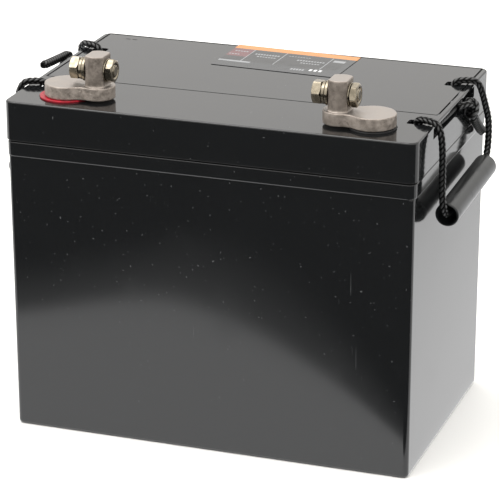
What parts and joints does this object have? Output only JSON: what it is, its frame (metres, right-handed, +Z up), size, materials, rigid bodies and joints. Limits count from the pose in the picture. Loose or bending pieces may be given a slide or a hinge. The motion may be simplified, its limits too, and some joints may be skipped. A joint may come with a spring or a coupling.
{
  "type": "deep cycle battery",
  "caption": "Sealed twelve-volt deep cycle battery: glossy black case and lid, bolted flag terminals, plate cells inside, and a swinging rope carry handle at each end.",
  "frame": {"origin": "middle of the underside of the container, on the surface it stands on", "axes": "+X along the case towards the negative terminal, -Y the face nearest the terminals, +Z up"},
  "size_m": [0.2916, 0.165, 0.2413],
  "materials": {
    "case_plastic": "moulded black ABS, glossy, fine scuffs",
    "label_film": "printed film, dark grey with one orange strip, satin",
    "valve_rubber": "moulded black EPDM, matt",
    "positive_plates": "lead grid pasted with brown lead dioxide, matt",
    "negative_plates": "lead grid pasted with grey sponge lead, matt",
    "glass_mat": "white absorbent glass fibre mat",
    "red_seal": "red moulded ring",
    "black_seal": "black moulded ring",
    "lead_alloy": "cast tinned lead alloy, dull warm grey",
    "plated_steel": "zinc plated steel, bright",
    "grip_plastic": "extruded black tube, satin",
    "rope_cord": "braided black polypropylene cord"
  },
  "bodies": {
    "case": {"case_container": "case_plastic", "lid": "case_plastic", "vent_cover_plate": "case_plastic", "top_label": "label_film", "valve_cap_1": "valve_rubber", "valve_cap_2": "valve_rubber", "valve_cap_3": "valve_rubber", "valve_cap_4": "valve_rubber", "valve_cap_5": "valve_rubber", "valve_cap_6": "valve_rubber", "positive_plate_group_1": "positive_plates", "positive_plate_group_2": "positive_plates", "positive_plate_group_3": "positive_plates", "positive_plate_group_4": "positive_plates", "positive_plate_group_5": "positive_plates", "positive_plate_group_6": "positive_plates", "negative_plate_group_1": "negative_plates", "negative_plate_group_2": "negative_plates", "negative_plate_group_3": "negative_plates", "negative_plate_group_4": "negative_plates", "negative_plate_group_5": "negative_plates", "negative_plate_group_6": "negative_plates", "separator_mat_1": "glass_mat", "separator_mat_2": "glass_mat", "separator_mat_3": "glass_mat", "separator_mat_4": "glass_mat", "separator_mat_5": "glass_mat", "separator_mat_6": "glass_mat", "intercell_connector_1": "lead_alloy", "intercell_connector_2": "lead_alloy", "intercell_connector_3": "lead_alloy", "intercell_connector_4": "lead_alloy", "intercell_connector_5": "lead_alloy", "positive_terminal": "lead_alloy", "positive_seal_ring": "red_seal", "positive_pillar": "lead_alloy", "positive_bolt": "plated_steel", "positive_spring_washer": "plated_steel", "positive_flat_washer": "plated_steel", "negative_terminal": "lead_alloy", "negative_seal_ring": "black_seal", "negative_pillar": "lead_alloy", "negative_bolt": "plated_steel", "negative_spring_washer": "plated_steel", "negative_flat_washer": "plated_steel", "right_rope_fixed_run": "rope_cord", "right_rope_knot": "rope_cord", "left_rope_fixed_run": "rope_cord", "left_rope_knot": "rope_cord"},
    "right_handle": {"right_handle_grip": "grip_plastic", "right_rope_loop": "rope_cord"},
    "left_handle": {"left_handle_grip": "grip_plastic", "left_rope_loop": "rope_cord"},
    "positive_nut_washer": {"positive_nut_washer": "plated_steel"},
    "positive_nut": {"positive_nut": "plated_steel"},
    "negative_nut_washer": {"negative_nut_washer": "plated_steel"},
    "negative_nut": {"negative_nut": "plated_steel"}
  },
  "joints": [
    {"name": "right_handle_swing", "type": "hinge", "parent": "case", "child": "right_handle", "pos_m": [0.13, 0.0015, 0.213], "axis": [0, -1, 0], "range_deg": [0, 165]},
    {"name": "left_handle_swing", "type": "hinge", "parent": "case", "child": "left_handle", "pos_m": [-0.13, 0.0015, 0.213], "axis": [0, 1, 0], "range_deg": [0, 165]},
    {"name": "positive_nut_back_off", "type": "slide", "parent": "case", "child": "positive_nut_washer", "axis": [1, 0, 0], "range_m": [0, 0.003]},
    {"name": "positive_nut_turn", "type": "hinge", "parent": "positive_nut_washer", "child": "positive_nut", "pos_m": [-0.0768, -0.06, 0.2317], "axis": [1, 0, 0], "range_deg": [0, 864]},
    {"name": "negative_nut_back_off", "type": "slide", "parent": "case", "child": "negative_nut_washer", "axis": [1, 0, 0], "range_m": [0, 0.003]},
    {"name": "negative_nut_turn", "type": "hinge", "parent": "negative_nut_washer", "child": "negative_nut", "pos_m": [0.0768, -0.06, 0.2317], "axis": [1, 0, 0], "range_deg": [0, 864]}
  ],
  "couplings": [
    {"joint": "positive_nut_turn", "follows": "positive_nut_back_off", "rad_per_m": 5026.5},
    {"joint": "negative_nut_turn", "follows": "negative_nut_back_off", "rad_per_m": 5026.5}
  ]
}
